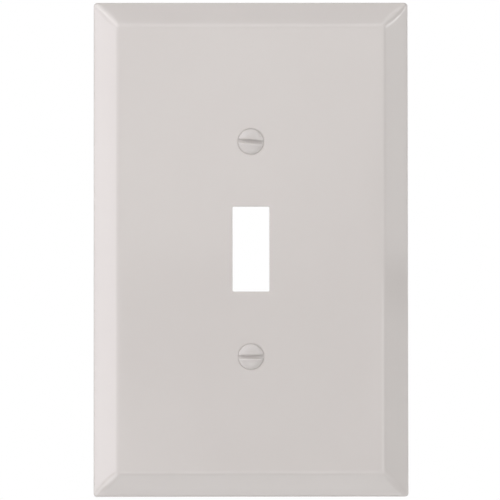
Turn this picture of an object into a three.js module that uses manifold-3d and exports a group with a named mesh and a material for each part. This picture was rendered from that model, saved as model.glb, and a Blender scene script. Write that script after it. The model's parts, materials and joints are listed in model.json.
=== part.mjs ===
// A jumbo one-gang toggle wall plate, stamped from painted steel sheet, with its two oval-head screws.
//
// Millimetres. +X runs across the plate, +Z up the wall, and the painted front faces -Y.
// The origin is the centre of the plate's footprint, so the wall is the plane y = 0.
// The toggle slot is open: the switch behind the plate is a separate product.

import * as THREE from 'three';
import { mergeVertices } from 'three/addons/utils/BufferGeometryUtils.js';
import Module from 'manifold-3d';

const wasm = await Module();
wasm.setup();

// ---- Driving dimensions ---------------------------------------------------------------------

// Plate. Corners named sharp are where two flats would meet without the bend between them.
const PLATE_WIDTH = 88.9; // 3 1/2 in
const PLATE_HEIGHT = 139.7; // 5 1/2 in
const PLATE_DEPTH = 6.35; // wall to front face, 1/4 in
const SHEET = 0.9; // thickness of the steel
const SKIRT_HEIGHT = 1.65; // wall to the sharp corner of skirt and bevel
const BEVEL_WIDTH = 7.05; // outline to the sharp corner of bevel and face, seen from the front
const RIM_BEND = 1.2; // outside radius, skirt to bevel
const CREASE_BEND = 2.6; // outside radius, bevel to face
const CORNER_RADIUS = 1.0; // outside, of the outline and of the mitre ridges
const INNER_CORNER_RADIUS = 0.3;

// Toggle slot
const TOGGLE_WIDTH = 10.32; // 13/32 in
const TOGGLE_HEIGHT = 23.81; // 15/16 in
const TOGGLE_CORNER = 0.35;

// Screws: 6-32 oval head, slotted
const SCREW_SPACING = 60.325; // 2 3/8 in, centre to centre
const SCREW_LENGTH = 12.7; // rim of the head to the tip, 1/2 in
const THREAD_PITCH = 25.4 / 32;
const THREAD_MAJOR_RADIUS = 3.505 / 2;
const THREAD_DEPTH = 0.6134 * THREAD_PITCH;
const CREST_FLAT = THREAD_PITCH / 8;
const BLANK_RADIUS = 1.5; // plain neck under the head
const THREAD_START = 2.9; // below the rim of the head
const TIP_CHAMFER = 0.45;
const HEAD_RADIUS = 3.55;
const HEAD_EDGE = 0.15; // short straight wall at the rim of the head
const DOME_HEIGHT = 1.05;
const DOME_FLATNESS = 2.2; // these two powers shape the dome's outline, which is flatter
const DOME_STEEPNESS = 1.25; // on top and steeper at the rim than a slice of a ball
const DRIVER_SLOT_WIDTH = 1.3;
const DRIVER_SLOT_DEPTH = 1.1; // below the top of the dome
const UPPER_SCREW_TURN = 4.4; // degrees that the driver slot is off level, clockwise from the front
const LOWER_SCREW_TURN = -0.5;

// Dimpled screw seats
const SEAT_HALF_ANGLE = THREE.MathUtils.degToRad(41); // an 82 degree countersink
const SEAT_GAP = 0.15; // between the head's cone and the seat, square to both
const HEAD_SINK = 0.12; // face of the plate down to the rim of the head
const SEAT_MOUTH_BEND = 1.0;
const SEAT_WALL = 0.75; // sheet drawn thinner round the dimple
const HOLE_RADIUS = 2.1;
const HOLE_LAND = 0.35; // straight wall of the hole

// Facets
const CORNER_STEPS = 6; // along a quarter circle, an even number
const BEND_STEPS = 5;
const ROUND_SIDES = 48;
const DOME_STEPS = 8;
const THREAD_SIDES = 20;

const PAST = 1; // how far a cutter runs past what it cuts

// ---- Solids ---------------------------------------------------------------------------------

function solidFrom(geometry) {
  const bare = geometry.clone();
  bare.deleteAttribute('normal');
  bare.deleteAttribute('uv');
  const merged = mergeVertices(bare, 1e-4);
  return new wasm.Manifold(new wasm.Mesh({
    numProp: 3,
    vertProperties: merged.getAttribute('position').array,
    triVerts: Uint32Array.from(merged.getIndex().array),
  }));
}

function geometryFrom(solid) {
  const { vertProperties, triVerts } = solid.getMesh();
  const geometry = new THREE.BufferGeometry();
  geometry.setAttribute('position', new THREE.BufferAttribute(vertProperties, 3));
  geometry.setIndex(new THREE.BufferAttribute(triVerts, 1));
  const faceted = geometry.toNonIndexed();
  faceted.computeVertexNormals();
  return faceted;
}

// A profile of Vector2(radius, y), turned about the Y axis. It starts and ends on the axis.
function turned(profile, sides) {
  return new THREE.LatheGeometry(profile, sides);
}

function arc(centre, radius, start, end, steps) {
  const clockwise = end < start;
  const curve = new THREE.EllipseCurve(centre.x, centre.y, radius, radius, start, end, clockwise);
  return curve.getPoints(steps);
}

// ---- Plate ----------------------------------------------------------------------------------

function roundedRectangle(width, height, radius) {
  const x = width / 2 - radius;
  const z = height / 2 - radius;
  const quarter = Math.PI / 2;
  const shape = new THREE.Shape();
  shape.absarc(x, z, radius, 0, quarter);
  shape.absarc(-x, z, radius, quarter, 2 * quarter);
  shape.absarc(-x, -z, radius, 2 * quarter, 3 * quarter);
  shape.absarc(x, -z, radius, 3 * quarter, 4 * quarter);
  return shape;
}

// The bent sheet's section, as Vector2(inset from the outline, height above the wall), for the
// skin that lies offset below the outside. Both skins turn round the same bend centres.
function skinSection(offset) {
  const slope = Math.atan2(PLATE_DEPTH - SKIRT_HEIGHT, BEVEL_WIDTH);
  const square = Math.PI / 2;
  const rimCentre = new THREE.Vector2(
    RIM_BEND,
    SKIRT_HEIGHT - RIM_BEND * Math.tan((square - slope) / 2),
  );
  const creaseCentre = new THREE.Vector2(
    BEVEL_WIDTH + CREASE_BEND * Math.tan(slope / 2),
    PLATE_DEPTH - CREASE_BEND,
  );
  return [
    new THREE.Vector2(offset, 0),
    ...arc(rimCentre, RIM_BEND - offset, 2 * square, square + slope, BEND_STEPS),
    ...arc(creaseCentre, CREASE_BEND - offset, square + slope, square, BEND_STEPS),
  ];
}

// The rounded rectangle that one point of the section sweeps out round the plate.
function sectionLoop(point, radius) {
  const width = PLATE_WIDTH - 2 * point.x;
  const height = PLATE_HEIGHT - 2 * point.x;
  const outline = roundedRectangle(width, height, radius).getPoints(CORNER_STEPS / 2);
  outline.pop(); // the path ends where it began
  return outline.map(({ x, y }) => new THREE.Vector3(x, -point.y, y));
}

// A closed skin through loops that all have the same number of points, with a flat fan at each end.
function loft(loops) {
  const count = loops[0].length;
  const index = [];
  for (let k = 0; k + 1 < loops.length; k++) {
    for (let j = 0; j < count; j++) {
      const here = k * count + j;
      const beside = k * count + (j + 1) % count;
      index.push(here, beside, beside + count);
      index.push(here, beside + count, here + count);
    }
  }
  const last = (loops.length - 1) * count;
  for (let j = 1; j + 1 < count; j++) {
    index.push(0, j + 1, j);
    index.push(last, last + j, last + j + 1);
  }
  const geometry = new THREE.BufferGeometry().setFromPoints(loops.flat());
  geometry.setIndex(index);
  return geometry;
}

function bentSheet() {
  const inside = skinSection(SHEET).reverse();
  const outside = skinSection(0);
  return loft([
    ...inside.map((point) => sectionLoop(point, INNER_CORNER_RADIUS)),
    ...outside.map((point) => sectionLoop(point, CORNER_RADIUS)),
  ]);
}

function toggleCutter() {
  const depth = PLATE_DEPTH + PAST;
  const outline = roundedRectangle(TOGGLE_WIDTH, TOGGLE_HEIGHT, TOGGLE_CORNER);
  const cutter = new THREE.ExtrudeGeometry(outline, { depth, bevelEnabled: false, curveSegments: 4 });
  return cutter.rotateX(Math.PI / 2);
}

// The seat's cone, as its radius at a depth below the front face.
const SEAT_TAPER = Math.tan(SEAT_HALF_ANGLE);
const SEAT_MOUTH_RADIUS = HEAD_RADIUS + SEAT_GAP / Math.cos(SEAT_HALF_ANGLE)
  + (HEAD_SINK + HEAD_EDGE) * SEAT_TAPER;
const HOLE_TOP = (SEAT_MOUTH_RADIUS - HOLE_RADIUS) / SEAT_TAPER;
const HOLE_BOTTOM = HOLE_TOP + HOLE_LAND;

// Everything that is open in a screw seat: the rounded mouth, the cone and the hole.
function seatCutter() {
  const square = Math.PI / 2;
  const lean = square - SEAT_HALF_ANGLE; // how far the surface turns at the mouth
  const mouthEdge = SEAT_MOUTH_RADIUS + SEAT_MOUTH_BEND * Math.tan(lean / 2);
  const bendCentre = new THREE.Vector2(mouthEdge, SEAT_MOUTH_BEND);
  const profile = [
    new THREE.Vector2(0, -PAST),
    new THREE.Vector2(mouthEdge, -PAST),
    ...arc(bendCentre, SEAT_MOUTH_BEND, -square, -square - lean, BEND_STEPS),
    new THREE.Vector2(HOLE_RADIUS, HOLE_TOP),
    new THREE.Vector2(HOLE_RADIUS, HOLE_BOTTOM + PAST),
    new THREE.Vector2(0, HOLE_BOTTOM + PAST),
  ];
  return turned(profile, ROUND_SIDES);
}

// The sheet pushed out behind the plate round a screw hole.
function seatBoss() {
  const wall = SEAT_WALL / Math.cos(SEAT_HALF_ANGLE);
  const radiusAt = (depth) => SEAT_MOUTH_RADIUS - depth * SEAT_TAPER + wall;
  const top = SHEET / 2;
  const profile = [
    new THREE.Vector2(0, top),
    new THREE.Vector2(radiusAt(top), top),
    new THREE.Vector2(radiusAt(HOLE_BOTTOM), HOLE_BOTTOM),
    new THREE.Vector2(0, HOLE_BOTTOM),
  ];
  return turned(profile, ROUND_SIDES);
}

function wallPlate() {
  let plate = solidFrom(bentSheet());
  const seats = [-SCREW_SPACING / 2, SCREW_SPACING / 2];
  for (const z of seats) {
    plate = plate.add(solidFrom(seatBoss()).translate([0, -PLATE_DEPTH, z]));
  }
  for (const z of seats) {
    plate = plate.subtract(solidFrom(seatCutter()).translate([0, -PLATE_DEPTH, z]));
  }
  return geometryFrom(plate.subtract(solidFrom(toggleCutter())));
}

// ---- Screws ---------------------------------------------------------------------------------
// A screw is drawn about its own axis, with y = 0 at the rim of its head and the tip towards +Y.

// The dome's outline from its top to its rim, with closer steps where it is steeper.
function domeOutline() {
  const outline = [];
  for (let i = 0; i <= DOME_STEPS; i++) {
    const share = Math.sin((i / DOME_STEPS) * (Math.PI / 2));
    const height = DOME_HEIGHT * (1 - share ** DOME_FLATNESS) ** (1 / DOME_STEEPNESS);
    outline.push(new THREE.Vector2(share * HEAD_RADIUS, -height));
  }
  return outline;
}

function head() {
  const coneHeight = (HEAD_RADIUS - BLANK_RADIUS) / SEAT_TAPER;
  const profile = [
    ...domeOutline(),
    new THREE.Vector2(HEAD_RADIUS, HEAD_EDGE),
    new THREE.Vector2(BLANK_RADIUS, HEAD_EDGE + coneHeight),
    new THREE.Vector2(BLANK_RADIUS, THREAD_START + THREAD_PITCH),
    new THREE.Vector2(0, THREAD_START + THREAD_PITCH),
  ];
  return turned(profile, ROUND_SIDES);
}

// A right-hand thread with flat crests and roots, longer at both ends than the screw needs.
// Station i is one step round the helix, and slot m is one corner of the thread's section there.
// The section's end is its start one turn on, so slot 4 of station i is slot 0 of station i + a turn.
function thread() {
  const crest = CREST_FLAT / 2;
  const flank = THREAD_DEPTH * Math.tan(Math.PI / 6);
  const rootRadius = THREAD_MAJOR_RADIUS - THREAD_DEPTH;
  const section = [
    new THREE.Vector2(THREAD_MAJOR_RADIUS, -crest),
    new THREE.Vector2(THREAD_MAJOR_RADIUS, crest),
    new THREE.Vector2(rootRadius, crest + flank),
    new THREE.Vector2(rootRadius, THREAD_PITCH - crest - flank),
  ];
  const slots = section.length;
  const first = THREAD_START - 2 * THREAD_PITCH;
  const turns = Math.ceil((SCREW_LENGTH - first) / THREAD_PITCH) + 1;
  const stations = turns * THREAD_SIDES;

  const points = [];
  const addPoint = (station, { x: radius, y }) => {
    const angle = (station / THREAD_SIDES) * 2 * Math.PI;
    const along = first + (station / THREAD_SIDES) * THREAD_PITCH + y;
    points.push(new THREE.Vector3(radius * Math.sin(angle), along, radius * Math.cos(angle)));
  };
  for (let i = 0; i <= stations; i++) {
    section.forEach((corner) => addPoint(i, corner));
  }
  for (let i = stations + 1; i <= stations + THREAD_SIDES; i++) {
    addPoint(i, section[0]);
  }
  const at = (i, m) => {
    if (m === slots) {
      return at(i + THREAD_SIDES, 0);
    }
    return i <= stations ? i * slots + m : stations * (slots - 1) + slots - 1 + i;
  };

  const index = [];
  for (let i = 0; i < stations; i++) {
    for (let m = 0; m < slots; m++) {
      index.push(at(i, m), at(i + 1, m), at(i + 1, m + 1));
      index.push(at(i, m), at(i + 1, m + 1), at(i, m + 1));
    }
  }
  // Each end is one turn of helix and the section that joins its two ends, fanned to the axis.
  const closeEnd = (start, facingUp) => {
    const rim = [];
    for (let i = 0; i <= THREAD_SIDES; i++) {
      rim.push(at(start + i, 0));
    }
    for (let m = slots - 1; m > 0; m--) {
      rim.push(at(start, m));
    }
    const centre = points.length;
    const along = first + (start / THREAD_SIDES + 0.5) * THREAD_PITCH;
    points.push(new THREE.Vector3(0, along, 0));
    rim.forEach((here, j) => {
      const beside = rim[(j + 1) % rim.length];
      index.push(centre, ...(facingUp ? [here, beside] : [beside, here]));
    });
  };
  closeEnd(0, false);
  closeEnd(stations, true);

  const geometry = new THREE.BufferGeometry().setFromPoints(points);
  geometry.setIndex(index);
  return geometry;
}

// What the thread is trimmed to: a run-out under the neck and a chamfered tip.
function threadEnvelope() {
  const outside = THREAD_MAJOR_RADIUS + PAST;
  const runOut = THREAD_MAJOR_RADIUS - BLANK_RADIUS + PAST;
  const tipRadius = THREAD_MAJOR_RADIUS - TIP_CHAMFER;
  return turned([
    new THREE.Vector2(0, THREAD_START),
    new THREE.Vector2(BLANK_RADIUS, THREAD_START),
    new THREE.Vector2(outside, THREAD_START + runOut),
    new THREE.Vector2(outside, SCREW_LENGTH - TIP_CHAMFER - PAST),
    new THREE.Vector2(tipRadius, SCREW_LENGTH),
    new THREE.Vector2(0, SCREW_LENGTH),
  ], ROUND_SIDES);
}

function driverSlotCutter() {
  const depth = DRIVER_SLOT_DEPTH + PAST;
  const cutter = new THREE.BoxGeometry(2 * (HEAD_RADIUS + PAST), depth, DRIVER_SLOT_WIDTH);
  return cutter.translate(0, -DOME_HEIGHT - PAST + depth / 2, 0);
}

function ovalHeadScrew() {
  const shank = solidFrom(thread()).intersect(solidFrom(threadEnvelope()));
  const screw = solidFrom(head()).add(shank);
  return geometryFrom(screw.subtract(solidFrom(driverSlotCutter())));
}

// ---- Assembly -------------------------------------------------------------------------------

const plateEnamel = new THREE.MeshStandardMaterial({ color: 0xd8d3cf, roughness: 0.3, metalness: 0 });
const screwEnamel = new THREE.MeshStandardMaterial({ color: 0xd6d1cd, roughness: 0.3, metalness: 0 });

const object = new THREE.Group();

function place(name, geometry, material) {
  const mesh = new THREE.Mesh(geometry, material);
  mesh.name = name;
  object.add(mesh);
  return mesh;
}

place('wall_plate', wallPlate(), plateEnamel);

const screwGeometry = ovalHeadScrew();
const rimOfHead = -PLATE_DEPTH + HEAD_SINK;
for (const [name, side, turn] of [
  ['upper_screw', 1, UPPER_SCREW_TURN],
  ['lower_screw', -1, LOWER_SCREW_TURN],
]) {
  const screw = place(name, screwGeometry, screwEnamel);
  screw.position.set(0, rimOfHead, (side * SCREW_SPACING) / 2);
  screw.rotation.y = THREE.MathUtils.degToRad(turn);
}

export default object;
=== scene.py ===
"""A jumbo one-gang toggle wall plate of painted steel sheet, with its two oval-head screws.

Metres, in the CAD model's own frame: +X across the plate, +Z up the wall, the painted front faces -Y,
and the wall is the plane y = 0. Every loop of points runs anticlockwise as seen from the front.
"""

import json
import math

import bpy
from mathutils import Matrix, Vector, noise


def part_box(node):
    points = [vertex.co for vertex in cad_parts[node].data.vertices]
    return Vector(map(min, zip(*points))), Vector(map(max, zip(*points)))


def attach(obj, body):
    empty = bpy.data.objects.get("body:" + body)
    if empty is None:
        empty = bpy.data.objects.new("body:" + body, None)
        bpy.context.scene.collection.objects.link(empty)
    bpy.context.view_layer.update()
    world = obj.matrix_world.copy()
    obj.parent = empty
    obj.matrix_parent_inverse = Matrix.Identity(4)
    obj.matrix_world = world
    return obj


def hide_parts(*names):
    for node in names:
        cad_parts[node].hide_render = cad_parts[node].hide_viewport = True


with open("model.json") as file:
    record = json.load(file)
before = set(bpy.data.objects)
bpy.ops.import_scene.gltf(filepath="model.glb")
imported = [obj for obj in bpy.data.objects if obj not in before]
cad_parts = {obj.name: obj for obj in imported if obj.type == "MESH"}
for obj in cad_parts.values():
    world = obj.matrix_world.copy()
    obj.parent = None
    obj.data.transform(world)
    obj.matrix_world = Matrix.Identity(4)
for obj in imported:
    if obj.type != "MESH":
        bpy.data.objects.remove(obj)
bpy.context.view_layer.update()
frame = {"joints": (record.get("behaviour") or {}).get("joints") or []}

MM = 0.001

# ---- Sizes ----------------------------------------------------------------------------------

plate_low, plate_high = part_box("wall_plate")
HALF_WIDTH = plate_high.x
HALF_HEIGHT = plate_high.z
DEPTH = -plate_low.y  # wall to front face

# The bent sheet. A sharp corner is where two flats would meet without the bend between them.
SHEET = 0.9 * MM
SKIRT_HEIGHT = 1.65 * MM  # wall to the sharp corner of skirt and bevel
BEVEL_WIDTH = 7.05 * MM  # outline to the sharp corner of bevel and face
RIM_BEND = 1.2 * MM
CREASE_BEND = 2.6 * MM
CORNER_RADIUS = 1.0 * MM  # of the outline
MITRE_SWELL = 1.0 * MM  # how much wider the corner's radius is halfway up the bevel
INNER_CORNER_RADIUS = 0.3 * MM
CUT_EDGE = 0.08 * MM  # rounding of the sheet's cut edges

# Toggle slot
TOGGLE_HALF_WIDTH = 5.16 * MM
TOGGLE_HALF_HEIGHT = 11.905 * MM
TOGGLE_CORNER = 0.35 * MM
DIE_ROLL = 0.22 * MM  # the punch pulls the front edge of the slot in by this radius

# Screws and their dimpled seats
HEAD_RADIUS = 3.55 * MM
HEAD_EDGE = 0.08 * MM  # straight edge between dome and cone
DOME_HEIGHT = 0.95 * MM
DOME_ROUNDNESS = (2.3, 1.4)  # powers of the dome's outline: flatter on top and steeper at the rim than a ball
BLANK_RADIUS = 1.5 * MM
DRIVER_SLOT_HALF_WIDTH = 0.46 * MM
DRIVER_SLOT_DEPTH = 1.05 * MM  # from the top of the dome
SLOT_DRAFT = 0.03 * MM  # how much narrower the driver slot is at its floor, on each side
SLOT_LIP = 0.4 * MM  # paint rounds the slot's upper edges and fills its lower corners
HEAD_SINK = 0.02 * MM
SEAT_TAPER = math.tan(math.radians(41))
SEAT_GAP = 0.03 * MM
SEAT_MOUTH_BEND = 0.9 * MM
SEAT_WALL = 0.75 * MM
SEAT_FILLET = 0.6 * MM  # the bulge behind runs into the back of the face in a soft bend
HOLE_RADIUS = 2.1 * MM
HOLE_LAND = 0.35 * MM
THREAD_PITCH = 25.4 / 32 * MM
THREAD_MAJOR_RADIUS = 3.505 / 2 * MM
THREAD_DEPTH = 0.6134 * THREAD_PITCH
THREAD_START = 2.9 * MM
THREAD_RUN_OUT = 0.8 * MM  # over which the thread rises to its full depth
SCREW_LENGTH = 12.7 * MM
TIP_CHAMFER = 0.45 * MM

SCREWS = {
    "upper_screw": {"body": "upper_screw_body", "turn": 4.4},
    "lower_screw": {"body": "lower_screw_body", "turn": -0.5},
}
for joint in frame["joints"]:
    for screw in SCREWS.values():
        if joint["child"] == screw["body"]:
            screw["height"] = joint["pos_m"][2]

# Mesh fineness
CORNER_STEPS = 14
BEND_STEPS = 8
BEVEL_STEPS = 4
SEAT_SIDES = 64
THREAD_SIDES = 40
CREASE_SUPPORT = 0.25 * MM  # from a bend's end to the next loop, which keeps the flat's shading flat
SUPPORT = 0.2 * MM  # the same round the toggle slot and the seats

PAINT, BARE = 0, 1  # the plate's two finishes

# ---- Mesh building --------------------------------------------------------------------------


class Shell:
    """The points and faces of one closed mesh, put together loop by loop."""

    def __init__(self):
        self.points = []
        self.faces = []
        self.finishes = []

    def loop(self, points):
        first = len(self.points)
        self.points.extend(Vector(p) for p in points)
        return list(range(first, len(self.points)))

    def face(self, corners, finish=0):
        """One face. A corner that follows itself counts once, so a quad can close to a triangle."""
        kept = [c for i, c in enumerate(corners) if c != corners[i - 1]]
        if len(kept) > 2:
            self.faces.append(kept)
            self.finishes.append(finish)

    def bridge(self, a, b, finish=0, closed=True):
        """Quads from loop a to loop b, which have the same number of points."""
        steps = len(a) if closed else len(a) - 1
        for i in range(steps):
            j = (i + 1) % len(a)
            self.face((a[i], a[j], b[j], b[i]), finish)

    def chain(self, loops, finish=0):
        for a, b in zip(loops, loops[1:]):
            self.bridge(a, b, finish)
        return loops[-1]

    def build(self, name, materials, sharp_degrees=32):
        mesh = bpy.data.meshes.new(name)
        mesh.from_pydata(self.points, [], self.faces)
        for material in materials:
            mesh.materials.append(material)
        mesh.polygons.foreach_set("material_index", self.finishes)
        mesh.polygons.foreach_set("use_smooth", [True] * len(self.faces))
        mesh.validate()
        mesh.set_sharp_from_angle(angle=math.radians(sharp_degrees))
        piece = bpy.data.objects.new(name, mesh)
        bpy.context.scene.collection.objects.link(piece)
        return piece


def arc(centre, radius, start, end, steps):
    """Points from angle start to angle end, in radians, both included."""
    angles = [start + (end - start) * i / steps for i in range(steps + 1)]
    return [(centre[0] + radius * math.cos(a), centre[1] + radius * math.sin(a)) for a in angles]


def spaced(start, end, steps):
    return [start + (end - start) * i / steps for i in range(steps + 1)]


def circle(radius, y, middle, sides=SEAT_SIDES):
    """A circle round middle, from the bottom left, where a square patch's loop starts too."""
    angles = [math.radians(-135) + 2 * math.pi * i / sides for i in range(sides)]
    return [(middle[0] + radius * math.cos(a), y, middle[1] + radius * math.sin(a)) for a in angles]


def rounded_rectangle(half_width, half_height, radius, y, across, up):
    """across and up place the points of the straight sides, from -1 to 1. The corners are arcs."""
    x, z = half_width - radius, half_height - radius
    quarter = math.pi / 2
    points = []
    for side, (cx, cz) in enumerate(((x, -z), (x, z), (-x, z), (-x, -z))):
        if side == 0:
            points += [(t * x, -half_height) for t in across]
        elif side == 1:
            points += [(half_width, t * z) for t in up]
        elif side == 2:
            points += [(-t * x, half_height) for t in across]
        else:
            points += [(-half_width, -t * z) for t in up]
        points += arc((cx, cz), radius, (side - 1) * quarter, side * quarter, CORNER_STEPS)[1:-1]
    return [(px, y, pz) for px, pz in points]


# ---- Plate ----------------------------------------------------------------------------------


def seat_mouth_radius():
    return HEAD_RADIUS + SEAT_GAP / math.cos(math.atan(SEAT_TAPER)) + (HEAD_SINK + HEAD_EDGE) * SEAT_TAPER


def section(offset, corner_steps=BEND_STEPS):
    """The sheet's bent section as (inset, height above the wall), for the skin offset below the outside."""
    slope = math.atan2(DEPTH - SKIRT_HEIGHT, BEVEL_WIDTH)
    square = math.pi / 2
    rim_centre = (RIM_BEND, SKIRT_HEIGHT - RIM_BEND * math.tan((square - slope) / 2))
    crease_centre = (BEVEL_WIDTH + CREASE_BEND * math.tan(slope / 2), DEPTH - CREASE_BEND)
    rim = arc(rim_centre, RIM_BEND - offset, 2 * square, square + slope, corner_steps)
    crease = arc(crease_centre, CREASE_BEND - offset, square + slope, square, corner_steps)
    (x0, h0), (x1, h1) = rim[-1], crease[0]
    bevel = [
        (x0 + (x1 - x0) * i / BEVEL_STEPS, h0 + (h1 - h0) * i / BEVEL_STEPS)
        for i in range(1, BEVEL_STEPS)
    ]
    return rim + bevel + crease


def mitre_radius(inset):
    """The drawn corners are rounder halfway up the bevel than at the outline or the face."""
    share = min(max(inset / BEVEL_WIDTH, 0), 1)
    return CORNER_RADIUS + MITRE_SWELL * math.sin(math.pi * share)


class FaceGrid:
    """The lines that the flat of the face is divided by, on the front and on the back."""

    MARGIN = 1.0 * MM  # between the crease and the first line
    CELL = 1.42 * MM
    SEAT_CELLS = 8
    SEAT_HALF = 5.6 * MM
    TOGGLE_HALF = (7.0 * MM, 14.0 * MM)
    TOGGLE_CELLS = (10, 20)

    def __init__(self):
        flat = BEVEL_WIDTH + CREASE_BEND * math.tan(math.atan2(DEPTH - SKIRT_HEIGHT, BEVEL_WIDTH) / 2)
        self.flat_inset = flat
        edge_x = HALF_WIDTH - flat - self.MARGIN
        edge_z = HALF_HEIGHT - flat - self.MARGIN
        toggle_x, toggle_z = self.TOGGLE_HALF
        seat_z = SCREWS["upper_screw"]["height"]
        self.xs = self.lines(
            (-edge_x, -toggle_x, None), (-toggle_x, toggle_x, self.TOGGLE_CELLS[0]), (toggle_x, edge_x, None)
        )
        low, high = seat_z - self.SEAT_HALF, seat_z + self.SEAT_HALF
        self.zs = self.lines(
            (-edge_z, -high, None),
            (-high, -low, self.SEAT_CELLS),
            (-low, -toggle_z, None),
            (-toggle_z, toggle_z, self.TOGGLE_CELLS[1]),
            (toggle_z, low, None),
            (low, high, self.SEAT_CELLS),
            (high, edge_z, None),
        )
        self.across = [x / edge_x for x in self.xs]
        self.up = [z / edge_z for z in self.zs]
        self.toggle = self.patch(-toggle_x, toggle_x, -toggle_z, toggle_z)
        self.seats = {
            name: self.patch(
                -self.SEAT_HALF,
                self.SEAT_HALF,
                screw["height"] - self.SEAT_HALF,
                screw["height"] + self.SEAT_HALF,
            )
            for name, screw in SCREWS.items()
        }

    def lines(self, *stretches):
        places = [stretches[0][0]]
        for start, end, cells in stretches:
            cells = cells or max(1, round((end - start) / self.CELL))
            places += spaced(start, end, cells)[1:]
        return places

    def patch(self, x0, x1, z0, z1):
        """The grid indices of a rectangle's edges."""

        def nearest(places, value):
            return min(range(len(places)), key=lambda i: abs(places[i] - value))

        return nearest(self.xs, x0), nearest(self.xs, x1), nearest(self.zs, z0), nearest(self.zs, z1)

    def add(self, shell, y, facing_front, finish):
        """Adds the grid at y, open where the slot and the seats are, and returns its points by index."""
        holes = [self.toggle, *self.seats.values()]

        def inside(i, j, edge):
            return any(i0 + edge <= i < i1 and j0 + edge <= j < j1 for i0, i1, j0, j1 in holes)

        at = {}
        for i, x in enumerate(self.xs):
            for j, z in enumerate(self.zs):
                if not inside(i, j, 1):
                    at[i, j] = shell.loop([(x, y, z)])[0]
        for i in range(len(self.xs) - 1):
            for j in range(len(self.zs) - 1):
                if inside(i, j, 0):
                    continue
                corners = [at[i, j], at[i + 1, j], at[i + 1, j + 1], at[i, j + 1]]
                shell.face(corners if facing_front else corners[::-1], finish)
        return at

    @staticmethod
    def border(at, patch, corner_repeats):
        """A rectangle's edge points in order, each corner repeated to meet the points of a rounded one."""
        i0, i1, j0, j1 = patch
        sides = (
            [at[i, j0] for i in range(i0, i1 + 1)],
            [at[i1, j] for j in range(j0, j1 + 1)],
            [at[i, j1] for i in range(i1, i0 - 1, -1)],
            [at[i0, j] for j in range(j1, j0 - 1, -1)],
        )
        ring = []
        for side in sides:
            ring += side + [side[-1]] * corner_repeats
        return ring

    def whole(self):
        return 0, len(self.xs) - 1, 0, len(self.zs) - 1


def bow(point):
    """How far the thin face bows in towards the wall at a point: less than a tenth of a millimetre."""
    inset = min(HALF_WIDTH - abs(point.x), HALF_HEIGHT - abs(point.z))
    share = min(max((inset - BEVEL_WIDTH - CREASE_BEND) / (8 * MM), 0), 1)
    ease = share * share * (3 - 2 * share)
    wave = noise.noise(Vector((point.x / (52 * MM), 0.37, point.z / (60 * MM))))
    return ease * (0.045 + 0.06 * wave) * MM


def outer_skin(shell, grid, front, back):
    """From the back of the face, out over the inside of the bends, round the rim and in over the front."""

    def ring(inset, height, radius):
        half_width, half_height = HALF_WIDTH - inset, HALF_HEIGHT - inset
        return shell.loop(
            rounded_rectangle(half_width, half_height, radius, -height, grid.across, grid.up)
        )

    repeats = CORNER_STEPS - 1
    support = grid.flat_inset + CREASE_SUPPORT
    inside = [ring(support, DEPTH - SHEET, INNER_CORNER_RADIUS)]
    for inset, height in reversed(section(SHEET)):
        radius = max(mitre_radius(inset) - SHEET, INNER_CORNER_RADIUS)
        inside.append(ring(inset, height, radius))
    inside.append(ring(SHEET, CUT_EDGE, INNER_CORNER_RADIUS))
    edge = [
        ring(SHEET - CUT_EDGE, 0, INNER_CORNER_RADIUS + CUT_EDGE),
        ring(CUT_EDGE, 0, CORNER_RADIUS - CUT_EDGE),
        ring(0.3 * CUT_EDGE, 0.3 * CUT_EDGE, CORNER_RADIUS - 0.3 * CUT_EDGE),
        ring(0, CUT_EDGE, CORNER_RADIUS),
    ]
    outside = [ring(inset, height, mitre_radius(inset)) for inset, height in section(0)]
    outside.append(ring(support, DEPTH, CORNER_RADIUS))

    shell.bridge(grid.border(back, grid.whole(), repeats), inside[0], BARE)
    shell.chain(inside, BARE)
    shell.bridge(inside[-1], edge[0], PAINT)
    shell.chain(edge + outside, PAINT)
    shell.bridge(outside[-1], grid.border(front, grid.whole(), repeats), PAINT)


def toggle_opening(shell, grid, front, back):
    """The punched slot: a rounded front edge, a straight wall and a sharp back edge."""
    across = [x / grid.xs[grid.toggle[1]] for x in grid.xs[grid.toggle[0] : grid.toggle[1] + 1]]
    up = [z / grid.zs[grid.toggle[3]] for z in grid.zs[grid.toggle[2] : grid.toggle[3] + 1]]

    def ring(grow, depth):
        return shell.loop(
            rounded_rectangle(
                TOGGLE_HALF_WIDTH + grow,
                TOGGLE_HALF_HEIGHT + grow,
                TOGGLE_CORNER + grow,
                depth - DEPTH,
                across,
                up,
            )
        )

    quarter = math.pi / 2
    roll = arc((DIE_ROLL, DIE_ROLL), DIE_ROLL, -quarter, -2 * quarter, 5)
    loops = [ring(DIE_ROLL + SUPPORT, 0)]
    loops += [ring(grow, depth) for grow, depth in roll]
    loops += [ring(0, SHEET - CUT_EDGE / 2), ring(CUT_EDGE / 2, SHEET)]
    last = ring(0.5 * MM, SHEET)
    repeats = CORNER_STEPS - 1
    shell.bridge(grid.border(front, grid.toggle, repeats), loops[0], PAINT)
    shell.chain(loops, PAINT)
    shell.bridge(loops[-1], last, BARE)
    shell.bridge(last, grid.border(back, grid.toggle, repeats), BARE)


def doubled(border):
    """A square patch's border with each point twice, to meet a circle with twice the points."""
    kept = [c for i, c in enumerate(border) if c != border[i - 1]]
    return [c for c in kept for _ in range(2)]


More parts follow.
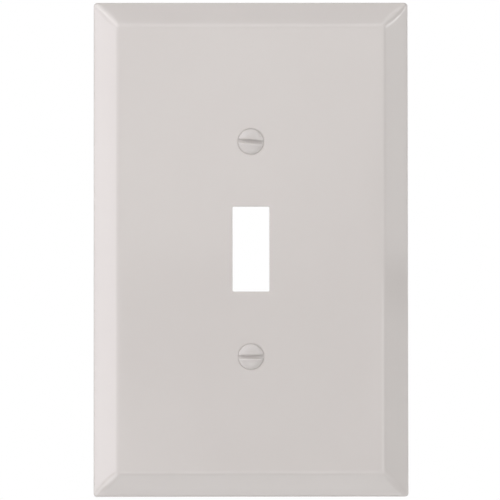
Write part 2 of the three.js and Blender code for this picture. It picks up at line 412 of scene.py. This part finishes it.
def screw_seat(shell, grid, name, front, back):
    """A dimple pressed into the sheet: a rounded mouth, an 82 degree cone, the hole and the bulge behind."""
    middle = (0, SCREWS[name]["height"])
    mouth = seat_mouth_radius()
    lean = math.pi / 2 - math.atan(SEAT_TAPER)
    edge = mouth + SEAT_MOUTH_BEND * math.tan(lean / 2)
    hole_top = (mouth - HOLE_RADIUS) / SEAT_TAPER
    hole_bottom = hole_top + HOLE_LAND
    wall = SEAT_WALL / math.cos(math.atan(SEAT_TAPER))

    def bulge_radius(depth):
        return mouth - depth * SEAT_TAPER + wall

    def ring(radius, depth):
        return shell.loop(circle(radius, depth - DEPTH, middle))

    bend = arc((edge, SEAT_MOUTH_BEND), SEAT_MOUTH_BEND, -math.pi / 2, -math.pi / 2 - lean, 8)
    cone_start = bend[-1][1]
    painted = [ring(edge + SUPPORT, 0)]
    painted += [ring(radius, depth) for radius, depth in bend]
    for depth in spaced(cone_start, hole_top, 4)[1:-1]:
        painted.append(ring(mouth - depth * SEAT_TAPER, depth))
    painted += [
        ring(HOLE_RADIUS + CUT_EDGE * SEAT_TAPER, hole_top - CUT_EDGE),
        ring(HOLE_RADIUS, hole_top + CUT_EDGE),
        ring(HOLE_RADIUS, hole_bottom - CUT_EDGE),
        ring(HOLE_RADIUS + CUT_EDGE, hole_bottom),
    ]
    foot = bulge_radius(SHEET) + SEAT_FILLET * math.tan(lean / 2)
    bare = [ring(bulge_radius(hole_bottom) - CUT_EDGE, hole_bottom)]
    bare.append(ring(bulge_radius(hole_bottom - CUT_EDGE), hole_bottom - CUT_EDGE))
    sweep = arc((foot, SHEET + SEAT_FILLET), SEAT_FILLET, -math.pi / 2 - lean, -math.pi / 2, 6)
    bare += [ring(radius, depth) for radius, depth in sweep]
    bare.append(ring(min(foot + SUPPORT, grid.SEAT_HALF - 0.1 * MM), SHEET))

    shell.bridge(doubled(grid.border(front, grid.seats[name], 0)), painted[0], PAINT)
    shell.chain(painted, PAINT)
    shell.bridge(painted[-1], bare[0], BARE)
    shell.chain(bare, BARE)
    shell.bridge(bare[-1], doubled(grid.border(back, grid.seats[name], 0)), BARE)


def plate_piece(materials):
    shell = Shell()
    grid = FaceGrid()
    front = grid.add(shell, -DEPTH, True, PAINT)
    back = grid.add(shell, SHEET - DEPTH, False, BARE)
    outer_skin(shell, grid, front, back)
    toggle_opening(shell, grid, front, back)
    for name in SCREWS:
        screw_seat(shell, grid, name, front, back)
    for point in shell.points:
        point.y += bow(point)
    return shell.build("wall_plate_sheet", materials)


# ---- Screws ---------------------------------------------------------------------------------
# A screw is drawn about its own axis, with y = 0 at the rim of its head and the tip towards +Y.


def dome(radius):
    """The height of the dome's surface at a distance from the axis: 0 at the rim."""
    flatness, steepness = DOME_ROUNDNESS
    share = min(radius / HEAD_RADIUS, 1)
    return -DOME_HEIGHT * (1 - share**flatness) ** (1 / steepness)


def cone_radius(y):
    return HEAD_RADIUS - (y - HEAD_EDGE) * SEAT_TAPER


def screw_head(name, material):
    """The slotted oval head. Rows cross it along the driver slot, and its side hangs from the rows' ends."""
    floor = DRIVER_SLOT_DEPTH - DOME_HEIGHT
    columns = [math.sin(math.pi / 2 * t) for t in spaced(-1, 1, 28)]
    shell = Shell()

    def row(point_at):
        return shell.loop([point_at(u) for u in columns])

    def dome_row(z):
        half = math.sqrt(HEAD_RADIUS**2 - z**2)
        return row(lambda u: (u * half, dome(math.hypot(u * half, z)), z))

    def slot_row(side, part, angle):
        """One row of the slot's rounded lip or of the fillet at its foot, side being -1 or 1."""
        wide = DRIVER_SLOT_HALF_WIDTH
        rise, run = 1 - math.cos(angle), 1 - math.sin(angle)

        def point_at(u):
            x = u * math.sqrt(HEAD_RADIUS**2 - wide**2)
            wall = floor - dome(math.hypot(x, wide))
            soft = min(SLOT_LIP, 0.4 * wall)
            if part == "lip":
                z = wide + soft * run
                x = u * math.sqrt(HEAD_RADIUS**2 - z**2)
                y = dome(math.hypot(x, wide + soft)) + soft * rise
            else:
                z = wide - SLOT_DRAFT - soft * rise
                x = u * math.sqrt(HEAD_RADIUS**2 - z**2)
                y = floor - soft * run
            return x, y, side * z

        return row(point_at)

    def slot_side(side):
        """The slot's rows on one side, from its lip down to its floor."""
        turns = [math.radians(degrees) for degrees in (0, 30, 60, 90)]
        return [slot_row(side, part, turn) for part in ("lip", "fillet") for turn in turns]

    first = math.degrees(math.asin((DRIVER_SLOT_HALF_WIDTH + SLOT_LIP) / HEAD_RADIUS)) + 2.5
    dome_angles = [math.radians(a) for a in spaced(first, 86, 18)]
    rows = [dome_row(-HEAD_RADIUS * math.sin(a)) for a in reversed(dome_angles)]
    rows += slot_side(-1)
    rows.append(row(lambda u: (u * HEAD_RADIUS, floor, 0)))
    rows += reversed(slot_side(1))
    rows += [dome_row(HEAD_RADIUS * math.sin(a)) for a in dome_angles]
    for a, b in zip(rows, rows[1:]):
        shell.bridge(a, b, closed=False)

    poles = [shell.loop([(0, 0, z)])[0] for z in (-HEAD_RADIUS, HEAD_RADIUS)]
    for left, right in zip(rows[0], rows[0][1:]):
        shell.face((poles[0], right, left))
    for left, right in zip(rows[-1], rows[-1][1:]):
        shell.face((left, right, poles[1]))

    above = [poles[0]] + [r[-1] for r in rows] + [poles[1]] + [r[0] for r in reversed(rows)]
    angles = [math.atan2(shell.points[p].z, shell.points[p].x) for p in above]
    levels = [(HEAD_EDGE, HEAD_RADIUS)]
    cone_end = HEAD_EDGE + (HEAD_RADIUS - BLANK_RADIUS) / SEAT_TAPER
    levels += [(y, cone_radius(y)) for y in spaced(HEAD_EDGE, cone_end, 4)[1:]]
    for y, radius in levels:
        ring = shell.loop([(radius * math.cos(a), y, radius * math.sin(a)) for a in angles])
        shell.bridge(ring, above)
        above = ring
    shell.face(above[::-1])
    return shell.build(name, [material], sharp_degrees=50)


def screw_shank(name, material):
    """The rolled 6-32 thread: one strip of the thread's section round and round, cut off at both ends."""
    crest = THREAD_PITCH / 16
    flank = THREAD_DEPTH * math.tan(math.pi / 6)
    root = THREAD_MAJOR_RADIUS - THREAD_DEPTH
    soft = 0.3 * crest
    outline = [
        (THREAD_MAJOR_RADIUS - soft, -crest - soft),
        (THREAD_MAJOR_RADIUS, -0.6 * crest),
        (THREAD_MAJOR_RADIUS, 0.6 * crest),
        (THREAD_MAJOR_RADIUS - soft, crest + soft),
        (root + 2 * soft, crest + flank - soft),
        (root, crest + flank + 2 * soft),
        (root, THREAD_PITCH - crest - flank - 2 * soft),
        (root + 2 * soft, THREAD_PITCH - crest - flank + soft),
    ]
    neck_top = HEAD_EDGE + (HEAD_RADIUS - BLANK_RADIUS) / SEAT_TAPER - 0.3 * MM
    shell = Shell()

    def limited(radius, y):
        """The blank's radius until the thread starts, and the tip's chamfer."""
        share = min(max((y - THREAD_START) / THREAD_RUN_OUT, 0), 1)
        low = BLANK_RADIUS + share * (root - BLANK_RADIUS)
        high = BLANK_RADIUS + share * (THREAD_MAJOR_RADIUS - BLANK_RADIUS)
        tip = THREAD_MAJOR_RADIUS - TIP_CHAMFER + max(SCREW_LENGTH - y, 0)
        return min(min(max(radius, low), high), tip)

    def station(i):
        """The thread's section at one step round the helix, cut off at the ends of the thread."""
        angle = 2 * math.pi * i / THREAD_SIDES
        points = []
        for radius, along in outline:
            y = THREAD_START - THREAD_PITCH + i / THREAD_SIDES * THREAD_PITCH + along
            y = min(max(y, THREAD_START), SCREW_LENGTH)
            r = limited(radius, y)
            points.append((r * math.sin(angle), y, r * math.cos(angle)))
        return points

    # Past an end, every point falls on the end's circle, so the strip closes on itself there.
    known = {}

    def index(point):
        key = tuple(round(c / (1e-4 * MM)) for c in point)
        if key not in known:
            known[key] = shell.loop([point])[0]
        return known[key]

    turns = math.ceil((SCREW_LENGTH - THREAD_START) / THREAD_PITCH) + 2
    stations = [[index(p) for p in station(i)] for i in range((turns + 1) * THREAD_SIDES + 1)]
    for i in range(turns * THREAD_SIDES):
        here = stations[i] + [stations[i + THREAD_SIDES][0]]
        beside = stations[i + 1] + [stations[i + 1 + THREAD_SIDES][0]]
        for m in range(len(outline)):
            corners = [here[m], beside[m], beside[m + 1], here[m + 1]]
            if len(set(corners)) > 2:
                shell.face(list(dict.fromkeys(corners)))

    def end_ring(radius, y):
        angles = [2 * math.pi * i / THREAD_SIDES for i in range(THREAD_SIDES)]
        return [index((radius * math.sin(a), y, radius * math.cos(a))) for a in angles]

    start = end_ring(BLANK_RADIUS, THREAD_START)
    neck = end_ring(BLANK_RADIUS, neck_top)
    shell.bridge(neck, start)
    shell.face(neck[::-1])
    shell.face(end_ring(THREAD_MAJOR_RADIUS - TIP_CHAMFER, SCREW_LENGTH))
    return shell.build(name, [material])


def place_on_axis(piece, screw):
    """Moves the points of a piece that is drawn about the screw's axis to where the screw is."""
    turn = Matrix.Rotation(math.radians(screw["turn"]), 4, "Y")
    place = Matrix.Translation((0, HEAD_SINK - DEPTH, screw["height"]))
    piece.data.transform(place @ turn)


# ---- Materials ------------------------------------------------------------------------------


class Nodes:
    """A new material with a Principled shader, and short ways to add nodes to it."""

    def __init__(self, name):
        self.material = bpy.data.materials.new(name)
        self.material.use_nodes = True
        self.tree = self.material.node_tree
        self.shader = self.tree.nodes["Principled BSDF"]
        self.place = self.add("ShaderNodeTexCoord").outputs["Object"]

    def add(self, kind, **settings):
        node = self.tree.nodes.new(kind)
        for key, value in settings.items():
            setattr(node, key, value)
        return node

    def link(self, source, socket):
        self.tree.links.new(source, socket)

    def noise(self, size, detail=2.0, roughness=0.5):
        """Noise whose features are about size metres across, from 0 to 1."""
        node = self.add("ShaderNodeTexNoise")
        node.inputs["Scale"].default_value = 1 / size
        node.inputs["Detail"].default_value = detail
        node.inputs["Roughness"].default_value = roughness
        self.link(self.place, node.inputs["Vector"])
        return node.outputs["Fac"]

    def cells(self, size):
        """Irregular cells about size metres across, each with its own value from 0 to 1."""
        node = self.add("ShaderNodeTexVoronoi")
        node.inputs["Scale"].default_value = 1 / size
        self.link(self.place, node.inputs["Vector"])
        apart = self.add("ShaderNodeSeparateColor")
        self.link(node.outputs["Color"], apart.inputs[0])
        return apart.outputs[0]

    def maths(self, operation, a, b=None):
        node = self.add("ShaderNodeMath", operation=operation)
        for socket, value in zip(node.inputs, (a, b)):
            if isinstance(value, (int, float)):
                socket.default_value = value
            elif value is not None:
                self.link(value, socket)
        return node.outputs[0]

    def sum(self, a, b):
        return self.maths("ADD", a, b)

    def distance(self):
        """Metres from the object's origin."""
        node = self.add("ShaderNodeVectorMath", operation="LENGTH")
        self.link(self.place, node.inputs[0])
        return node.outputs["Value"]

    def nearness_to_rim(self):
        """0 on the plate's centre lines, rising to 1 at its outline."""
        apart = self.add("ShaderNodeSeparateXYZ")
        self.link(self.place, apart.inputs[0])
        across = self.maths("DIVIDE", self.maths("ABSOLUTE", apart.outputs["X"]), HALF_WIDTH)
        up = self.maths("DIVIDE", self.maths("ABSOLUTE", apart.outputs["Z"]), HALF_HEIGHT)
        return self.maths("MAXIMUM", across, up)

    def mapped(self, value, low, high, from_low=0.0, from_high=1.0):
        """A value between from_low and from_high as one between low and high, kept between them."""
        node = self.add("ShaderNodeMapRange")
        limits = {"From Min": from_low, "From Max": from_high, "To Min": low, "To Max": high}
        for key, number in limits.items():
            node.inputs[key].default_value = number
        self.link(value, node.inputs["Value"])
        return node.outputs["Result"]

    def mixed(self, factor, a, b):
        """A colour between a and b, each a colour or an output."""
        node = self.add("ShaderNodeMix", data_type="RGBA")
        self.link(factor, node.inputs["Factor"])
        for socket, colour in ((node.inputs[6], a), (node.inputs[7], b)):
            if isinstance(colour, tuple):
                socket.default_value = (*colour, 1)
            else:
                self.link(colour, socket)
        return node.outputs[2]

    def bump(self, height, distance, normal=None):
        node = self.add("ShaderNodeBump")
        node.inputs["Strength"].default_value = 1.0
        node.inputs["Distance"].default_value = distance
        self.link(height, node.inputs["Height"])
        if normal is not None:
            self.link(normal, node.inputs["Normal"])
        return node.outputs["Normal"]

    def set(self, socket, value):
        if isinstance(value, (int, float)):
            self.shader.inputs[socket].default_value = value
        elif isinstance(value, tuple):
            self.shader.inputs[socket].default_value = (*value, 1)
        else:
            self.link(value, self.shader.inputs[socket])


def enamel(name, colour, shade):
    """Baked gloss enamel: faint clouds in its colour, orange peel and a little haze in the gloss."""
    m = Nodes(name)
    clouds = m.noise(38 * MM, detail=3.0)
    m.set("Base Color", m.mixed(m.mapped(clouds, 0, 1, 0.3, 0.7), colour, shade))
    m.set("Roughness", m.mapped(m.noise(9 * MM, detail=4.0), 0.06, 0.1, 0.3, 0.7))
    peel = m.bump(m.noise(1.7 * MM, detail=1.0), 0.006 * MM)
    m.set("Normal", m.bump(m.noise(0.35 * MM, detail=2.0), 0.0006 * MM, normal=peel))
    m.set("IOR", 1.5)
    return m.material


ENAMEL = (0.653, 0.616, 0.594)
ENAMEL_SHADE = (0.638, 0.6, 0.579)
SCREW_ENAMEL_WITH_PAINTED_SHADE = (0.62, 0.586, 0.567)  # this and the next are darker than the plate's enamel: in part the screws' own paint, in part painted shade for the darker lower halves of the domes
SCREW_CLOUD_TONE_WITH_PAINTED_SHADE = (0.6, 0.566, 0.548)


def bare_back():
    """Zinc-coated steel: the zinc's crystals, a few stains, and paint that drifted over the rim."""
    m = Nodes("zinc_coated_back")
    crystals = m.cells(3.2 * MM)
    zinc = m.mixed(crystals, (0.62, 0.62, 0.61), (0.67, 0.67, 0.66))
    stained = m.mixed(m.mapped(m.noise(21 * MM, detail=4.0), 0, 0.6, 0.52, 0.7), zinc, (0.44, 0.43, 0.41))
    ragged = m.mapped(m.noise(5 * MM, detail=4.0), -0.05, 0.05)
    drift = m.mapped(m.sum(m.nearness_to_rim(), ragged), 0, 1, 0.93, 1)
    m.set("Base Color", m.mixed(drift, stained, ENAMEL_SHADE))
    m.set("Metallic", m.mapped(drift, 1, 0))
    m.set("Roughness", m.mapped(crystals, 0.36, 0.46))
    m.set("Normal", m.bump(m.noise(1.1 * MM, detail=3.0), 0.008 * MM))
    return m.material


def zinc_plating():
    m = Nodes("zinc_plating")
    m.set("Base Color", m.mixed(m.noise(1.2 * MM, detail=3.0), (0.6, 0.6, 0.58), (0.72, 0.72, 0.7)))
    m.set("Metallic", 1.0)
    m.set("Roughness", m.mapped(m.noise(0.6 * MM, detail=3.0), 0.24, 0.38, 0.3, 0.7))
    return m.material


# ---- The object -----------------------------------------------------------------------------

plate_paint = enamel("plate_enamel", ENAMEL, ENAMEL_SHADE)
# The screws' enamel is darker than the plate's, partly its own paint and partly painted shade on the lower
# halves of the domes.
screw_paint_with_painted_shade = enamel("screw_enamel", SCREW_ENAMEL_WITH_PAINTED_SHADE, SCREW_CLOUD_TONE_WITH_PAINTED_SHADE)
zinc = zinc_plating()

plate = plate_piece([plate_paint, bare_back()])
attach(plate, "plate")
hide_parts("wall_plate")

for screw_name, screw in SCREWS.items():
    head = screw_head(f"{screw_name}_head", screw_paint_with_painted_shade)
    shank = screw_shank(f"{screw_name}_shank", zinc)
    for piece, finish in ((head, "screw_enamel"), (shank, "zinc_plating")):
        place_on_axis(piece, screw)
        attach(piece, screw["body"])
        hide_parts(screw_name)

# ---- Stage, light and camera ----------------------------------------------------------------

FRONT_SURROUNDINGS = 0.1  # radiance of the even light in front of the plate
BACKDROP = 0.6  # and behind it
FLOOR_HALF = 9.0
FLOOR_DROP = 1.2
FLOOR_LIFT = (0.42, 0.8)  # what the floor seems to glow to the camera, nearby and far away
FLOOR_FADE = (2.0, 8.0)  # where the one starts to turn into the other, and where it ends
PINK = (1.0, 0.97, 1.02)  # the lamps at the left are a little pinker than the others
SOFTBOXES = [
    dict(name="key", azimuth=-5, elevation=50, away=1.25, width=1.7, height=1.05, radiance=1.33),
    dict(name="left", azimuth=-63, elevation=13, away=0.75, width=0.47, height=0.75, radiance=1.6, tint=PINK),
    dict(
        name="left_edge", azimuth=-74, elevation=0, away=0.75, width=0.19, height=0.38, radiance=1.1, tint=PINK
    ),
    dict(name="left_high", azimuth=-57, elevation=42, away=0.75, width=0.25, height=0.19, radiance=2.9),
    dict(name="left_low", azimuth=-59, elevation=-40, away=0.75, width=0.25, height=0.36, radiance=2.8),
    dict(name="right", azimuth=74, elevation=20, away=1.2, width=0.35, height=0.85, radiance=1.3),
    dict(name="right_fill", azimuth=74, elevation=-13, away=1.2, width=0.35, height=0.5, radiance=0.75),
    dict(name="right_low", azimuth=63, elevation=-42, away=1.2, width=0.4, height=0.4, radiance=2.0),
    dict(name="right_high", azimuth=66, elevation=20, away=1.2, width=0.22, height=0.34, radiance=3.6),
    dict(name="bottom", azimuth=0, elevation=-74, away=0.85, width=0.9, height=0.1, radiance=1.0),
    dict(name="rim_left", azimuth=-115, elevation=0, away=1.1, width=0.3, height=1.2, radiance=1.5),
    dict(name="rim_right", azimuth=115, elevation=0, away=1.1, width=0.3, height=1.2, radiance=1.4),
    dict(name="rim_bottom", azimuth=180, elevation=-65, away=1.1, width=1.2, height=0.3, radiance=1.1),
    dict(name="front_left", azimuth=-30, elevation=20, away=1.3, width=0.4, height=0.7, radiance=1.2),
    dict(name="front_right", azimuth=30, elevation=18, away=1.3, width=0.4, height=0.8, radiance=1.7),
    dict(name="front_low", azimuth=0, elevation=-30, away=1.4, width=0.9, height=0.25, radiance=2.5),
    dict(name="strip_left", azimuth=-16, elevation=-6, away=1.4, width=0.3, height=0.34, radiance=1.5),
    dict(name="strip_right", azimuth=20, elevation=-6, away=1.4, width=0.4, height=0.3, radiance=2.6),
]

# Panels beside the camera: the stretch of the face that mirrors each, as left, right, low and high in mm,
# and its radiance.
PANELS = {
    "panel_high": ((-45, 26, 17, 74), 0.75),
    "panel_high_right": ((26, 45, 27, 74), 0.75),
    "panel_middle": ((-45, 26, -2, 17), 0.55),
    "panel_lobe": ((6, 22, -14, -2), 0.25),
    "panel_corner": ((26, 45, -52, -20), 0.3),
    "panel_low": ((-45, -15, -75, -45), 0.5),
}
PANEL_DISTANCE = 1.4
CAMERA = Vector((-2.1 * MM, -DEPTH - 0.6, -9.8 * MM))
CAMERA_TURN = (90.91, 0.05, -0.175)  # degrees about X, Y and Z
CAMERA_LENS = 154.1
CAMERA_SENSOR = 36


def stage_floor():
    """A pale floor well below the plate, which fades to white far away."""
    mesh = bpy.data.meshes.new("floor")
    half, drop = FLOOR_HALF, FLOOR_DROP
    corners = [(-half, -half, -drop), (half, -half, -drop), (half, half, -drop), (-half, half, -drop)]
    mesh.from_pydata(corners, [], [(0, 1, 2, 3)])
    m = Nodes("floor")
    m.set("Base Color", m.mixed(m.noise(0.8, detail=2.0), (0.86, 0.86, 0.86), (0.9, 0.9, 0.9)))
    m.set("Roughness", 0.8)
    m.set("Emission Color", (1.0, 1.0, 1.0))
    seen = m.add("ShaderNodeLightPath").outputs["Is Camera Ray"]
    glow = m.mapped(m.distance(), *FLOOR_LIFT, *FLOOR_FADE)
    m.set("Emission Strength", m.maths("MULTIPLY", seen, glow))
    mesh.materials.append(m.material)
    floor = bpy.data.objects.new("floor", mesh)
    bpy.context.scene.collection.objects.link(floor)


def softbox(name, azimuth, elevation, away, width, height, radiance, tint=(1, 1, 1)):
    """A soft rectangular light that faces the object, out of the camera's sight.

    azimuth 0 is in front of the plate and 90 to its right, radiance is how bright the box itself looks.
    """
    a, e = math.radians(azimuth), math.radians(elevation)
    place = away * Vector((math.sin(a) * math.cos(e), -math.cos(a) * math.cos(e), math.sin(e)))
    light = bpy.data.lights.new(name, "AREA")
    light.shape = "RECTANGLE"
    light.size, light.size_y = width, height
    light.energy = math.pi * width * height * radiance
    light.color = tint
    lamp = bpy.data.objects.new(name, light)
    lamp.location = place
    lamp.rotation_mode = "QUATERNION"
    lamp.rotation_quaternion = (-place).to_track_quat("-Z", "Y")
    lamp.visible_camera = False
    bpy.context.scene.collection.objects.link(lamp)


def mirrored_panel(name, stretch, radiance):
    """A panel placed where the camera sees its reflection over a stretch of the flat face."""
    spread = 1 + PANEL_DISTANCE / (-DEPTH - CAMERA.y)
    left, right, low, high = (edge * MM for edge in stretch)
    x = CAMERA.x + ((left + right) / 2 - CAMERA.x) * spread
    z = CAMERA.z + ((low + high) / 2 - CAMERA.z) * spread
    place = Vector((x, -DEPTH - PANEL_DISTANCE, z))
    softbox(
        name=name,
        azimuth=math.degrees(math.atan2(place.x, -place.y)),
        elevation=math.degrees(math.asin(place.z / place.length)),
        away=place.length,
        width=(right - left) * spread,
        height=(high - low) * spread,
        radiance=radiance,
    )


def white_surroundings():
    """A white backdrop behind the plate and dimmer even light in front. The camera sees white all round."""
    world = bpy.data.worlds.new("surroundings")
    world.use_nodes = True
    nodes, links = world.node_tree.nodes, world.node_tree.links
    lit = nodes["Background"]
    lit.inputs["Color"].default_value = (1, 1, 1, 1)
    direction = nodes.new("ShaderNodeSeparateXYZ")
    links.new(nodes.new("ShaderNodeTexCoord").outputs["Generated"], direction.inputs[0])
    fade = nodes.new("ShaderNodeMapRange")
    fade.inputs["From Min"].default_value = 0.0
    fade.inputs["From Max"].default_value = 0.3
    fade.inputs["To Min"].default_value = FRONT_SURROUNDINGS
    fade.inputs["To Max"].default_value = BACKDROP
    links.new(direction.outputs["Y"], fade.inputs["Value"])
    links.new(fade.outputs["Result"], lit.inputs["Strength"])
    seen = nodes.new("ShaderNodeBackground")
    seen.inputs["Color"].default_value = (1, 1, 1, 1)
    path = nodes.new("ShaderNodeLightPath")
    pick = nodes.new("ShaderNodeMixShader")
    links.new(path.outputs["Is Camera Ray"], pick.inputs[0])
    links.new(lit.outputs[0], pick.inputs[1])
    links.new(seen.outputs[0], pick.inputs[2])
    links.new(pick.outputs[0], nodes["World Output"].inputs["Surface"])
    bpy.context.scene.world = world


def photographer():
    data = bpy.data.cameras.new("camera")
    data.sensor_width = CAMERA_SENSOR
    data.lens = CAMERA_LENS
    camera = bpy.data.objects.new("camera", data)
    camera.location = CAMERA
    camera.rotation_euler = [math.radians(turn) for turn in CAMERA_TURN]
    bpy.context.scene.collection.objects.link(camera)
    bpy.context.scene.camera = camera


bpy.context.scene.view_settings.view_transform = "Standard"
stage_floor()
white_surroundings()
for box in SOFTBOXES:
    softbox(**box)
for panel_name, (stretch, radiance) in PANELS.items():
    mirrored_panel(panel_name, stretch, radiance)
photographer()
